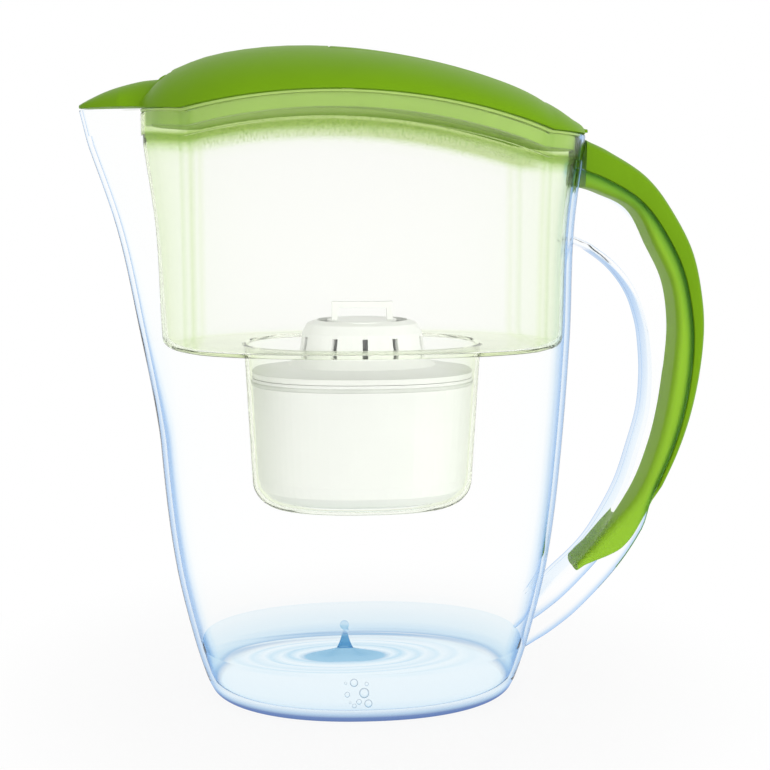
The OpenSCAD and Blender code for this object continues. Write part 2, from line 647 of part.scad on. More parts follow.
// Solid between flat sections of two matched rows, each of the given count
module loft_flat(rings, row) {
    n = len(rings[0]);
    m = len(rings);
    sides = [for (r = [0 : m - 2], i = [0 : n - 1])
        let(a = r * n + i, b = r * n + (i + 1) % n, c = b + n, d = a + n)
        each [[a, b, c], [a, c, d]]];
    ends = [for (k = [0 : row - 2])
        let(a = k, b = k + 1, c = n - 2 - k, d = n - 1 - k)
        each [[a, d, c, b], [for (v = [a, b, c, d]) v + (m - 1) * n]]];
    polyhedron(points = [for (r = rings) each r], faces = concat(sides, ends), convexity = 10);
}

module flip_hinge_pin() {
    color("silver") translate([hinge_x, flip_pin_half, hinge_z]) rotate([90, 0, 0])
        cylinder(r = pin_r, h = 2 * flip_pin_half, $fn = 48);
}

// Spout flap: a beak over the spout with a barrel around its pivot
function beak_half(x) =
    let(out = (-x - rim_half_len) / spout_reach)
    min(beak_half_wid, out <= 0 ? beak_half_wid
        : (spout_half_wid - 1) * sqrt(max(0.004, 1 - sqrt(min(0.99, out)))));
module spout_flap() {
    marks = [-beak_pivot_back + 1, -9, -4, 0, 3, 6, 9, 12, 15, 18, spout_reach - 1.8, spout_reach - 0.4];
    n = 14;
    lift = lid_room;
    rings = [for (d = marks)
        let(x = -rim_half_len - d, w = beak_half(x), base = rim_at(-rim_half_len) + lift,
            rise = curve(beak_curve, d) - lift, edge = min(1.2, rise * 0.5))
        concat(
            [for (k = [0 : n]) let(v = 1 - 2 * k / n)
                [x, w * v, base + edge + (rise - edge) * dome(abs(v))]],
            [[x, -w, base], [x, w, base]])];
    color([0.45, 0.62, 0.12]) difference() {
        union() {
            loft([for (k = [len(rings) - 1 : -1 : 0]) rings[k]]);
            translate([pivot_x, beak_half_wid, pivot_z]) rotate([90, 0, 0])
                cylinder(r = barrel_r, h = 2 * beak_half_wid, $fn = 64);
        }
        pin_bore(pivot_x, pivot_z, 2 * beak_half_wid + 2);
    }
}

module spout_flap_pin() {
    half = beak_half_wid + 0.5 + beak_ear_t;
    color("silver") translate([pivot_x, half, pivot_z]) rotate([90, 0, 0])
        cylinder(r = pin_r, h = 2 * half, $fn = 48);
}

jug();
grip();
funnel();
cartridge_shell();
cartridge_cap();
cartridge_seal();
cartridge_top_screen();
cartridge_bottom_screen();
filter_granules();
lid_shell();
lid_frame();
flip_lid();
flip_hinge_pin();
spout_flap();
spout_flap_pin();
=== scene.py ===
import bpy
import bmesh
import math
import numpy as np
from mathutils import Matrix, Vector


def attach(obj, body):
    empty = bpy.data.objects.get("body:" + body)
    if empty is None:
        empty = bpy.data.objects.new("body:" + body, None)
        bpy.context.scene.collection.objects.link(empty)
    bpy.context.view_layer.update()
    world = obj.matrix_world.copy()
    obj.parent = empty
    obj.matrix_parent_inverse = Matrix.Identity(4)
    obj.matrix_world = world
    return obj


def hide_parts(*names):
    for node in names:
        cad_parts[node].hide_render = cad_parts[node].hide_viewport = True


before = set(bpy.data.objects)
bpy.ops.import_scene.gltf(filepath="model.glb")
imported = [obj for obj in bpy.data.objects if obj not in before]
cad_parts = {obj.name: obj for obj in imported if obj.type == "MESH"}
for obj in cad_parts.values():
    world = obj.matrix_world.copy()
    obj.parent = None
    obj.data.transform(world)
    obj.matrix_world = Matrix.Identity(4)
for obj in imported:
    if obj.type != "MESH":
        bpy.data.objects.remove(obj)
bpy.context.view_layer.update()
print("frame loaded:", len(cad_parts), "nodes")

scene = bpy.context.scene
mm = 0.001
for spare in ("Cube", "Light", "Camera"):
    if spare in bpy.data.objects:
        bpy.data.objects.remove(bpy.data.objects[spare])


# shapes: the same curves as the solids, with more points

jugShape = {
    "rimZ": 239, "rimFall": 0.054, "archRise": 10, "archHalf": 72,
    "rimHalfLen": 91.3, "rimHalfWid": 54.4, "footHalfLen": 63.8, "footHalfWid": 47.5,
    "rimSquare": 2.4, "footSquare": 2.2, "rimBand": 9,
    "wall": 2.2, "lipWall": 1.2, "floor": 3, "footRound": 2.6, "floorRound": 5, "rimRound": 0.45,
    "spoutReach": 23.6, "spoutPower": 1.35, "spoutHalfWid": 24, "spoutStartZ": 108,
    "lidRoom": 0.35, "collarHigh": 10,
    "swell": [[0, 0], [0.03, 0.12], [0.11, 0.32], [0.24, 0.555], [0.4, 0.71], [0.65, 0.835],
              [0.85, 0.865], [1, 1]],
    "around": 256, "crowd": 16, "ringStep": 3, "lowBand": 30, "levelTop": 200,
}
js = jugShape
bandZ = js["rimZ"] - js["rimBand"]
collarDrop = js["collarHigh"] + js["lidRoom"]


def hermite(points, x):
    table = np.array(points, float)
    xs, ys = table[:, 0], table[:, 1:]
    x = np.asarray(x, float)
    i = np.clip(np.searchsorted(xs, x, side="right") - 1, 0, len(xs) - 2)
    before = np.maximum(np.arange(len(xs)) - 1, 0)
    after = np.minimum(np.arange(len(xs)) + 1, len(xs) - 1)
    lean = (ys[after] - ys[before]) / (xs[after] - xs[before])[:, None]
    h = xs[i + 1] - xs[i]
    t = ((x - xs[i]) / h)[..., None]
    h = h[..., None]
    value = ((2 * t**3 - 3 * t**2 + 1) * ys[i] + (t**3 - 2 * t**2 + t) * h * lean[i]
             + (3 * t**2 - 2 * t**3) * ys[i + 1] + (t**3 - t**2) * h * lean[i + 1])
    return value[..., 0] if value.shape[-1] == 1 else value


def mix(a, b, t):
    return a + (b - a) * t


def turns():
    u = 2 * math.pi * np.arange(js["around"]) / js["around"]
    return u + math.radians(js["crowd"]) * np.sin(u)


def power(v, e):
    return np.sign(v) * np.abs(v) ** e


def oval(a, b, e, angle):
    return a * power(np.cos(angle), 2 / e), b * power(np.sin(angle), 2 / e)


def halfAt(a, b, e, x):
    return b * np.maximum(0.0001, 1 - np.minimum(1, np.abs(x / a)) ** e) ** (1 / e)


def rimAt(x):
    arch = js["archRise"] * np.maximum(0, 1 - (x / js["archHalf"]) ** 2)
    return js["rimZ"] - js["rimFall"] * x + arch


def swell(z):
    return hermite(js["swell"], np.clip(z / bandZ, 0, 1))


def halfLen(z):
    return mix(js["footHalfLen"], js["rimHalfLen"], swell(z))


def halfWid(z):
    return mix(js["footHalfWid"], js["rimHalfWid"], swell(z))


def squareAt(z):
    return mix(js["footSquare"], js["rimSquare"], swell(z))


def wallX(z, y):
    return halfLen(z) * (1 - (np.abs(y) / halfWid(z)) ** squareAt(z)) ** (1 / squareAt(z))


def spoutPush(z, y):
    top = rimAt(-js["rimHalfLen"])
    up = np.maximum(0, (z - js["spoutStartZ"]) / (top - js["spoutStartZ"])) ** js["spoutPower"]
    return js["spoutReach"] * up * np.maximum(0, 1 - (y / js["spoutHalfWid"]) ** 2) ** 2


def wallPoint(angle, off, z, toRim, drop):
    top, _ = oval(js["rimHalfLen"], js["rimHalfWid"], js["rimSquare"], angle)
    h = mix(z, rimAt(top) - drop, toRim)
    x, y = oval(halfLen(h) - off, halfWid(h) - off, squareAt(h), angle)
    return x, y, h


def jugRing(off, z, toRim=0, drop=0):
    x, y, h = wallPoint(turns(), off, z, toRim, drop)
    return np.stack([np.where(x < 0, x - spoutPush(h, y), x), y, h], 1)


# meshes

edgeAngle, weldWithin = 40, 1e-6


def toObject(name, points, faces, sharp=edgeAngle, shade=None):
    mesh = bpy.data.meshes.new(name)
    mesh.from_pydata((np.asarray(points, float) * mm).tolist(), [], faces)
    if shade is not None:
        marks = mesh.attributes.new("shade", "FLOAT", "POINT")
        marks.data.foreach_set("value", np.asarray(shade, np.float32))
    bm = bmesh.new()
    bm.from_mesh(mesh)
    bmesh.ops.remove_doubles(bm, verts=bm.verts, dist=weldWithin)
    bmesh.ops.recalc_face_normals(bm, faces=bm.faces)
    bm.to_mesh(mesh)
    bm.free()
    piece = bpy.data.objects.new(name, mesh)
    scene.collection.objects.link(piece)
    smoothShade(piece, sharp)
    return piece


def smoothShade(piece, sharp=edgeAngle):
    piece.data.shade_smooth()
    piece.data.set_sharp_from_angle(angle=math.radians(sharp))


def ringFaces(rows, count, looped):
    faces = []
    for r in range(rows if looped else rows - 1):
        s = (r + 1) % rows
        for i in range(count):
            j = (i + 1) % count
            faces.append((r * count + i, r * count + j, s * count + j, s * count + i))
    return faces


def loft(name, rings, looped=False, sharp=edgeAngle):
    rings = np.array(rings)
    rows, count, _ = rings.shape
    faces = ringFaces(rows, count, looped)
    if not looped:
        faces.append(tuple(range(count))[::-1])
        faces.append(tuple((rows - 1) * count + i for i in range(count)))
    return toObject(name, rings.reshape(-1, 3), faces, sharp)


def join(base, tools, how, sharp=edgeAngle):
    for tool in tools:
        cut = base.modifiers.new("join", "BOOLEAN")
        cut.operation, cut.object, cut.solver = how, tool, "MANIFOLD"
        seen = base.evaluated_get(bpy.context.evaluated_depsgraph_get())
        made = bpy.data.meshes.new_from_object(seen)
        base.modifiers.clear()
        old, base.data = base.data, made
        bpy.data.meshes.remove(old)
        bpy.data.objects.remove(tool)
    smoothShade(base, sharp)
    return base


def rod(name, x, z, radius, y0, y1, sides=96, nip=0):
    angle = 2 * math.pi * np.arange(sides) / sides
    levels = [(radius, y0), (radius, y1)]
    if nip:
        levels = [(radius - nip, y0), (radius, y0 + nip), (radius, y1 - nip), (radius - nip, y1)]
    rings = [np.stack([x + r * np.cos(angle), np.full(sides, y), z + r * np.sin(angle)], 1)
             for r, y in levels]
    return loft(name, rings)


def block(name, low, high):
    (x0, y0, z0), (x1, y1, z1) = low, high
    rings = [[(x0, y0, z), (x1, y0, z), (x1, y1, z), (x0, y1, z)] for z in (z0, z1)]
    return loft(name, rings)


def arc(steps):
    return [(math.sin(a), 1 - math.cos(a)) for a in np.linspace(0, math.pi / 2, steps)]


def between(marks, size):
    spread = [marks[0]]
    for a, b in zip(marks, marks[1:]):
        parts = max(1, round(abs(b - a) / size))
        spread += [a + (b - a) * k / parts for k in range(1, parts + 1)]
    return spread


# jug

def jugPot():
    s, wall, top, step = js, js["wall"], js["levelTop"], js["ringStep"]
    foot, lip, nib, turn = s["footRound"], s["lipWall"], s["rimRound"], s["floorRound"]
    shelf = collarDrop + s["lidRoom"]
    rings = [jugRing(foot * (1 - a), foot * b) for a, b in arc(7)]
    rings += [jugRing(0, z) for z in between([foot, s["lowBand"], top], step)[1:]]
    rings += [jugRing(0, top, t, t * (s["lidRoom"] + nib)) for t in np.linspace(0, 1, 15)[1:]]
    rings += [jugRing(nib * b, 0, 1, s["lidRoom"] + nib * (1 - a)) for a, b in arc(5)[1:]]
    rings += [jugRing(lip - nib * b, 0, 1, s["lidRoom"] + nib * (1 - a)) for a, b in arc(5)[::-1]]
    rings += [jugRing(lip, 0, 1, d) for d in (3, 6, shelf)]
    rings += [jugRing(wall, 0, 1, shelf)]
    rings += [jugRing(wall, top, t, t * collarDrop) for t in np.linspace(1, 0, 14)[1:]]
    rings += [jugRing(wall, z) for z in between([top, s["lowBand"], s["floor"] + turn], step)[1:]]
    rings += [jugRing(wall + turn * b, s["floor"] + turn * (1 - a)) for a, b in arc(7)[1:]]
    return loft("jugPot", rings)


handleShape = {
    "wid": 25, "wall": 2.4, "round": 6, "nip": 0.5, "gripRound": 7, "gripRoom": 0.3,
    "gripStart": 0.08, "gripEnd": 11.3, "capEnd": 9, "capFade": 0.3, "capLeast": 2.4,
    "tipTaper": 1.2, "tipLong": 0.8, "ledge": 0.01,
    "stations": (-1, 13), "step": 0.125, "joinHigh": 1.5, "joinLow": 11.5,
    "back": [[-1, -1.2, 0.985], [0, 0.4, 0.972], [1, 10.4, 0.952], [2, 26.9, 0.911],
             [3, 39.1, 0.858], [4, 50.3, 0.783], [5, 55.7, 0.695], [6, 57, 0.611],
             [7, 55.2, 0.515], [8, 50.5, 0.427], [9, 42.3, 0.335], [10, 32.4, 0.239],
             [11, 20.2, 0.16], [12, 9, 0.105], [13, -1.2, 0.07]],
    "front": [[-1, -1.2, 0.796], [0, 4.3, 0.787], [1, 8.9, 0.777], [2, 18.7, 0.745], [3, 26.3, 0.703],
              [4, 30.9, 0.653], [5, 33.2, 0.606], [6, 34.6, 0.552], [7, 34.4, 0.49], [8, 31.4, 0.423],
              [9, 27.9, 0.36], [10, 22, 0.297], [11, 16, 0.249], [12, 5.6, 0.195], [13, -1.2, 0.15]],
    "edge": [[-1, 0.71], [0, 0.71], [2, 0.74], [4, 0.75], [6, 0.77], [8, 0.8], [9, 0.84],
             [9.5, 1], [13, 1]],
    "tongue": [[0, 0.56], [1, 0.59], [2, 0.64], [3, 0.56], [4, 0.56], [5, 0.53], [6, 0.47], [7, 0.45],
               [8, 0.5], [9, 0.5], [10, 0.25], [11, 0.14], [11.3, 0.14]],
    "outer": [[0, 1], [9.6, 1], [9.8, 0.97], [10, 0.9], [10.25, 0.75], [10.5, 0.6],
              [10.75, 0.48], [11, 0.38], [11.3, 0.3]],
}
hs = handleShape


def handleAt(side, s):
    p = hermite(hs[side], s)
    z = p[..., 1] * js["rimZ"]
    return np.stack([halfLen(z) + p[..., 0], z], -1)


def handlePoint(s, share, y):
    p = mix(handleAt("front", s), handleAt("back", s), share)
    near = min(1, max(0, hs["joinHigh"] - s, s - hs["joinLow"]))
    return [p[0] - near * (halfLen(p[1]) - wallX(p[1], y)), y, p[1]]


def depthAt(s):
    return np.linalg.norm(handleAt("back", s) - handleAt("front", s))


def channelHalf(s, off):
    deep, r, half = depthAt(s), hs["round"] - off, hs["wid"] / 2 - off
    edge, nip = min(1, float(hermite(hs["edge"], s))), hs["nip"]
    points = [(edge, half - nip * (1 if off == 0 else -1)), (edge - nip / deep, half)]
    for p, q in arc(9):
        points.append(((off + r * (1 - p)) / deep, half - r * q))
    return points


def flatLoft(name, rings, shade=None):
    rings = np.array(rings)
    rows, count, _ = rings.shape
    faces = ringFaces(rows, count, False)
    last = (rows - 1) * count
    for k in range(count // 2 - 1):
        end = (k, k + 1, count - 2 - k, count - 1 - k)
        faces += [end[::-1], tuple(v + last for v in end)]
    return toObject(name, rings.reshape(-1, 3), faces, shade=shade)


def handleChannel():
    rings, rim, (first, last) = [], [], hs["stations"]
    for s in np.arange(first, last + 0.01, hs["step"]):
        outer, inner = channelHalf(s, 0), channelHalf(s, hs["wall"])
        # 1 marks the channel's rim, where the clear plastic gets a painted blue edge shade
        half = [1, 1] + [0] * (len(outer) - 2)
        rim += half + half[::-1] + half + half[::-1]
        row = [(k, y) for k, y in outer] + [(k, -y) for k, y in outer[::-1]]
        row += [(k, -y) for k, y in inner] + [(k, y) for k, y in inner[::-1]]
        rings.append([handlePoint(s, k, y) for k, y in row])
    return flatLoft("handleChannel", rings, shade=rim)


# a new piece rides on its body, and mostly stands in for a node of the frame
def place(piece, name, body, node=None):
    piece.name = name
    if node:
        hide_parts(node)
    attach(piece, body)
    print(name, "made:", len(piece.data.vertices), "points")
    return piece


jug = place(join(jugPot(), [handleChannel()], "UNION"), "jug_clear", "jug_body", "jug")


# grip

def gripHalf(s):
    deep = depthAt(s)
    tip = max(0, s - hs["gripEnd"] + hs["tipLong"])
    slim = hs["wid"] / 2 - hs["wall"] - hs["gripRoom"] - hs["tipTaper"] * tip
    fade = min(1, max(0, (s - hs["capEnd"]) / hs["capFade"] + 1))
    wide = mix(hs["wid"] / 2, slim, fade)
    low, high = float(hermite(hs["tongue"], s)), float(hermite(hs["outer"], s))
    least = min(hs["capLeast"] / deep, (high - low) / 2)
    edge = min(float(hermite(hs["edge"], s)) + hs["gripRoom"] / deep, high - least)
    crown = min(hs["gripRound"] * 0.5, (high - edge) * deep * 0.75) / deep
    turn = min(hs["round"] - hs["wall"], (edge - low) * deep * 0.9)
    nip, ledge = hs["nip"] * (1 - fade), hs["ledge"]
    points = [(low + turn * q / deep, slim - turn * (1 - p)) for p, q in arc(9)]
    points += [(edge, slim), (edge + ledge / deep, wide - nip)]
    points += [(edge + (ledge + nip * b) / deep, wide - nip * (1 - a)) for a, b in arc(4)[1:]]
    points += [(high - crown * (1 - p), wide - hs["gripRound"] * q) for p, q in arc(12)]
    return points


# the grip's rings, with a shade for each point: 1 on the tongue and the tip, which get the painted lighter
# green, 0 on the cap
def gripRings():
    fadeStart, end = hs["capEnd"] - hs["capFade"], hs["gripEnd"]
    marks = [*np.arange(hs["gripStart"], fadeStart, 0.1), *np.arange(fadeStart, end, 0.05), end]
    rings, shades, tonguePoints = [], [], 10
    for s in marks:
        side = gripHalf(s)
        rings.append([handlePoint(s, k, -y) for k, y in side] +
                     [handlePoint(s, k, y) for k, y in side[::-1]])
        tip = min(1, max(0, (s - fadeStart) / 0.6))
        half = [1] * tonguePoints + [tip] * (len(side) - tonguePoints)
        shades += half + half[::-1]
    return rings, shades


ringsOfGrip, shadeOfGrip = gripRings()
grip = place(flatLoft("grip", ringsOfGrip, shadeOfGrip), "grip_green", "jug_body", "grip")


# funnel

funnelShape = {
    "floorZ": 148.5, "wall": 1.6, "room": 0.4, "panelStep": 1.5, "panelSoft": 6, "floorShift": 1,
    "socketDeep": 69, "socketLen": 49.5, "socketWid": 36.3, "socketTaper": 3, "socketRound": 11,
    "socketSquare": 2.4, "outlet": 0.62, "corner": 4, "mouth": 1.2, "nip": 0.4, "shelf": 1.2,
    "bandFall": 1.6, "ringStep": 4,
}
fs = funnelShape
socketZ = fs["floorZ"] - fs["socketDeep"]
collarTop = fs["shelf"] + js["lidRoom"]
overLip = js["lipWall"] + fs["room"]
bandLow = js["rimZ"] - js["collarHigh"]


def funnelRing(off, z, toRim=0, drop=0):
    _, _, h = wallPoint(turns(), off, z, toRim, drop)
    shift = fs["floorShift"] * np.maximum(0, (bandLow - h) / (bandLow - fs["floorZ"]))
    x, y, h = wallPoint(turns(), off + shift, z, toRim, drop)
    t = np.clip((np.abs(x) - js["archHalf"] + 5) / fs["panelSoft"], 0, 1)
    y = y * (1 - t * t * (3 - 2 * t) * fs["panelStep"] / np.maximum(8, np.abs(y)))
    return np.stack([x + shift, y, h], 1)


def ovalRing(a, b, e, z):
    x, y = oval(a, b, e, turns())
    return np.stack([x, y, np.full(len(x), z)], 1)


def socketRing(z, off):
    into = off + fs["socketTaper"] * min(1, (fs["floorZ"] - z) / (fs["socketDeep"] - fs["socketRound"]))
    return ovalRing(fs["socketLen"] - into, fs["socketWid"] - into, fs["socketSquare"], z)


def outletRing(z):
    share = fs["outlet"]
    return ovalRing(fs["socketLen"] * share, fs["socketWid"] * share, fs["socketSquare"], z)


def funnelRings():
    s, w, r, b = fs, fs["wall"], fs["socketRound"], fs["corner"]
    side, floor, low, nip = js["wall"] + fs["room"], fs["floorZ"], socketZ, fs["nip"]
    under, drop, mouth, step = floor - w, collarDrop, s["mouth"], s["ringStep"]
    top, bandLine, inner = js["levelTop"], drop + w * s["bandFall"], 0.9 * r
    rings = [outletRing(low)]
    rings += [socketRing(low + r * q, r * (1 - p)) for p, q in arc(10)]
    rings += [socketRing(z, 0) for z in between([low + r, under - mouth], step)[1:]]
    rings += [socketRing(under - mouth * (1 - p), -mouth * q) for p, q in arc(5)[1:]]
    rings += [funnelRing(side + b * (1 - p), under + b * q) for p, q in arc(8)]
    rings += [funnelRing(side, z) for z in between([under + b, top], step)[1:]]
    rings += [funnelRing(side, top, t, drop) for t in np.linspace(0, 1, 10)[1:]]
    rings += [funnelRing(overLip, 0, 1, d) for d in (drop, 8, 5, collarTop + nip)]
    rings += [funnelRing(overLip + nip * q, 0, 1, collarTop + nip * (1 - p))
              for p, q in arc(4)[1:]]
    rings += [funnelRing(overLip + w - nip * q, 0, 1, collarTop + nip * (1 - p))
              for p, q in arc(4)[::-1]]
    rings += [funnelRing(overLip + w, 0, 1, d) for d in (5, 8, drop + w)]
    rings += [funnelRing(side + w, 0, 1, bandLine)]
    rings += [funnelRing(side + w, top, t, bandLine) for t in np.linspace(1, 0, 10)[1:]]
    rings += [funnelRing(side + w, z) for z in between([top, floor + b], step)[1:]]
    rings += [funnelRing(side + w + b * (1 - p), floor + b * q) for p, q in arc(8)[::-1][1:]]
    rings += [socketRing(floor - mouth * q, w - mouth * (1 - p)) for p, q in arc(5)]
    rings += [socketRing(z, w) for z in between([floor - mouth, low + w + inner], step)[1:]]
    rings += [socketRing(low + w + inner * q, w + inner * (1 - p)) for p, q in arc(10)[::-1][1:]]
    rings += [outletRing(low + w)]
    return rings


funnel = place(loft("funnel", funnelRings(), True, 50),
               "funnel_frosted", "funnel_body", "funnel")


# lid

lidShape = {
    "wall": 2.2, "skirt": 6.5, "skirtRoom": 0.6, "plate": 1.6, "seat": 0.25,
    "flipX": 33, "flipHalfLen": 47, "flipHalfWid": 28, "holeInset": 10, "flipRoom": 0.6, "flare": 1.4,
    "hingeBack": 7, "hingeDown": 5.3, "pin": 1.25, "pinRoom": 0.05, "pinHalf": 15, "ear": 3,
    "knuckleWall": 1.3, "nip": 0.4, "domeSquare": 2.4, "domeSoft": 0.55,
    "tabWid": 24, "tabRoot": 6, "tabRaise": 0.3, "tabGap": 0.35, "tabLeast": 1.4, "notchUp": 0.4,
    "roundShare": 0.2, "cornerShare": 0.39, "roundPower": 0.83,
    "crown": [[-1, 0], [-0.975, 4.4], [-0.94, 7.8], [-0.885, 13.1], [-0.82, 17], [-0.72, 19.5],
              [-0.5, 20.3], [-0.2, 19.6], [0.18, 17.7], [0.5, 15.9], [0.71, 14.2], [0.82, 11.6],
              [0.935, 5.7], [0.99, 2.8], [1, 0]],
    "steps": [0.004, 0.012, 0.025, 0.04, 0.065, 0.1, 0.15, 0.2, 0.28, 0.36, 0.46, 0.56, 0.67,
              0.78, 0.9],
}
ls = lidShape
flapShape = {
    "halfWid": 16, "pivotBack": 14.4, "pivotUp": 7, "barrel": 6, "ear": 2.2,
    "rise": [[-14, 12.2], [-9, 11.9], [-2, 11.1], [8, 8.5], [13, 6.7], [18, 4.4], [23, 1.8]],
}
bs = flapShape
frontZ = float(rimAt(-js["rimHalfLen"]))
pivotX, pivotZ = bs["pivotBack"] - js["rimHalfLen"], frontZ + bs["pivotUp"]
knuckle = ls["pin"] + ls["pinRoom"] + ls["knuckleWall"]
tabStart = ls["flipX"] + ls["flipHalfLen"] - ls["tabRoot"]


def dome(v):
    return np.maximum(0, 1 - np.minimum(1, v) ** ls["domeSquare"]) ** ls["domeSoft"]


def crownAt(x):
    return hermite(ls["crown"], np.clip(x / js["rimHalfLen"], -1, 1))


def lidTop(x, y):
    across = np.abs(y) / halfAt(js["rimHalfLen"], js["rimHalfWid"], js["rimSquare"], x)
    return rimAt(x) + crownAt(x) * dome(across)


def lidUnder(x, y):
    a, b = js["rimHalfLen"] - ls["wall"], js["rimHalfWid"] - ls["wall"]
    across = np.abs(y) / halfAt(a, b, js["rimSquare"], x)
    return rimAt(x) + np.maximum(0, crownAt(x) - ls["wall"]) * dome(across)


# a line in plan, laid on the lid's top or on the rim's arch, or that far under it
def onTop(line, drop=0):
    return np.column_stack([line, lidTop(line[:, 0], line[:, 1]) - drop])


def onRim(line, drop=0):
    return np.column_stack([line, rimAt(line[:, 0]) - drop])


hingeX = ls["flipX"] - ls["flipHalfLen"] + ls["hingeBack"]
hingeZ = float(lidTop(hingeX, ls["pinHalf"])) - ls["hingeDown"]


# a straight front edge at x = low, a round end at x = high
def tongueLine(low, high, half):
    count, power = js["around"], ls["roundPower"]
    side, corner = round(count * ls["roundShare"]), round(count * ls["cornerShare"])
    points = []
    for i in range(count):
        k, sign, mid = min(i, count - i), -1 if 2 * i > count else 1, (low + high) / 2
        if k < side:
            u = math.pi / 2 * k / side
            points.append((mid + (high - mid) * math.cos(u) ** power, sign * half * math.sin(u) ** power))
        elif k <= corner:
            points.append((mix(mid, low, (k - side) / (corner - side)), sign * half))
        else:
            points.append((low, sign * half * (count / 2 - k) / (count / 2 - corner)))
    points = np.array(points)
    nearCorners = [at + k for at in (corner, count - corner) for k in (-2, -1, 0, 1, 2)]
    for i in nearCorners * 3:
        points[i] = (points[i - 1] + 2 * points[i] + points[(i + 1) % count]) / 4
    return points


def flipLine(grow):
    return tongueLine(ls["flipX"] - ls["flipHalfLen"] - grow, ls["flipX"] + ls["flipHalfLen"] + grow,
                      ls["flipHalfWid"] + grow)


def planOval(off):
    x, y = oval(js["rimHalfLen"] - off, js["rimHalfWid"] - off, js["rimSquare"], turns())
    return np.stack([x, y], 1)


def lidShell():
    steps, rim, nip, w = ls["steps"], planOval(0), ls["nip"], ls["wall"]
    edge = flipLine(ls["flipRoom"])
    rings = [onRim(planOval(nip * (1 - p)), -nip * q) for p, q in arc(4)]
    rings += [onTop(mix(rim, edge, t)) for t in steps]
    rings += [onTop(flipLine(ls["flipRoom"] + nip * (1 - p)), nip * q) for p, q in arc(5)]
    inner, low = planOval(w), flipLine(ls["flipRoom"] + ls["flare"])
    for t in [1] + steps[::-1]:
        p = mix(inner, low, t)
        top = lidTop(p[:, 0], p[:, 1])
        rings.append(np.column_stack([p, np.minimum(lidUnder(p[:, 0], p[:, 1]), top - w)]))
    rings += [onRim(inner, -nip), onRim(planOval(w - nip))]
    return loft("lidShell", rings, True)


def beakSlot():
    half = bs["halfWid"] + 0.5
    deep = js["rimHalfLen"] + pivotX
    return [block("slot", (pivotX - deep - 1, -half, frontZ - 5), (pivotX + 0.6, half, frontZ + 35)),
            rod("slotRound", pivotX, pivotZ, bs["barrel"] + 0.5, -half, half)]


def thumbNotch():
    half = ls["tabWid"] / 2 + ls["flipRoom"]
    z = float(rimAt(js["rimHalfLen"])) + ls["notchUp"]
    return block("notch", (tabStart, -half, z), (js["rimHalfLen"] + 1, half, z + 40))


lidPiece = place(join(lidShell(), beakSlot() + [thumbNotch()], "DIFFERENCE"),
                 "lid_green", "lid_body", "lid_shell")


def pinBore(x, z, long):
    return rod("bore", x, z, ls["pin"] + ls["pinRoom"], -long / 2, long / 2, 48)


def frameRings():
    w, seat, nip = ls["plate"], ls["seat"], 0.3
    off = overLip + fs["wall"] + ls["skirtRoom"]
    shelf = fs["shelf"]
    outer, inner = funnelRing(overLip, 0, 1, seat), funnelRing(off + w, 0, 1, w)
    hole = tongueLine(hingeX + knuckle + 2, ls["flipX"] + ls["flipHalfLen"] - ls["holeInset"],
                      ls["flipHalfWid"] - ls["holeInset"])
    rings = [funnelRing(off + nip * (1 - p), 0, 1, ls["skirt"] - nip * q) for p, q in arc(4)]
    rings += [funnelRing(off, 0, 1, d) for d in (4, 2, shelf)]
    rings += [funnelRing(overLip + nip * (1 - p), 0, 1, shelf - nip * q) for p, q in arc(4)]
    rings += [funnelRing(overLip + nip * q, 0, 1, seat + nip * (1 - p)) for p, q in arc(4)]
    steps = (0.1, 0.2, 0.35, 0.5, 0.7, 0.85, 1)
    rings += [onRim(mix(outer[:, :2], hole, t), seat) for t in steps]
    rings += [onRim(mix(inner[:, :2], hole, t), w) for t in steps[::-1]]
    rings += [inner]
    rings += [funnelRing(off + w, 0, 1, d) for d in (3, ls["skirt"] - nip)]
    rings += [funnelRing(off + w - nip * q, 0, 1, ls["skirt"] - nip * (1 - p))
              for p, q in arc(4)[1:]]
    return rings


def ear(x, z, y, thick, low, high):
    foot, y0, y1 = float(rimAt(x)) - 1, y - thick / 2, y + thick / 2
    return [rod("earRound", x, z, knuckle, y0, y1, 64, 0.25),
            block("earFoot", (x + low, y0, foot), (x + high, y1, z))]


def lidFrame():
    ears, flapEar = [], bs["ear"]
    for side in (-1, 1):
        ears += ear(hingeX, hingeZ, side * (ls["pinHalf"] - ls["ear"] / 2), ls["ear"], -0.6, knuckle)
        ears += ear(pivotX, pivotZ, side * (bs["halfWid"] + 0.5 + flapEar / 2), flapEar, -knuckle, knuckle)
    body = join(loft("lidFrame", frameRings(), True), ears, "UNION")
    return join(body, [pinBore(hingeX, hingeZ, 2 * ls["pinHalf"] + 2),
                       pinBore(pivotX, pivotZ, 2 * (bs["halfWid"] + flapEar) + 4)], "DIFFERENCE")


framePiece = place(lidFrame(), "lid_frame_green", "lid_body", "lid_frame")


# flip lid

def thumbTab():
    rows, count, half, nipHigh, nipWide = [], 32, ls["tabWid"] / 2, 0.6, 0.8
    for t in 1 - (1 - np.linspace(0, 1, 24)) ** 1.6:
        x = mix(tabStart, js["rimHalfLen"], t)
        shut = float(rimAt(x)) + ls["notchUp"]
        ys = np.linspace(-half, half, count + 1)
        nip = nipHigh * np.clip((np.abs(ys) - half + nipWide) / nipWide, 0, 1) ** 2
        top = lidTop(np.full(count + 1, x), ys)
        high = np.maximum(top, shut + ls["tabLeast"]) + ls["tabRaise"] - nip
        low = np.maximum(high - ls["wall"] - nipHigh, shut + ls["tabGap"])
        rows.append([(x, y, z) for y, z in zip(ys, high)] +
                    [(x, y, z) for y, z in zip(ys[::-1], low[::-1])])
    return flatLoft("thumbTab", rows)


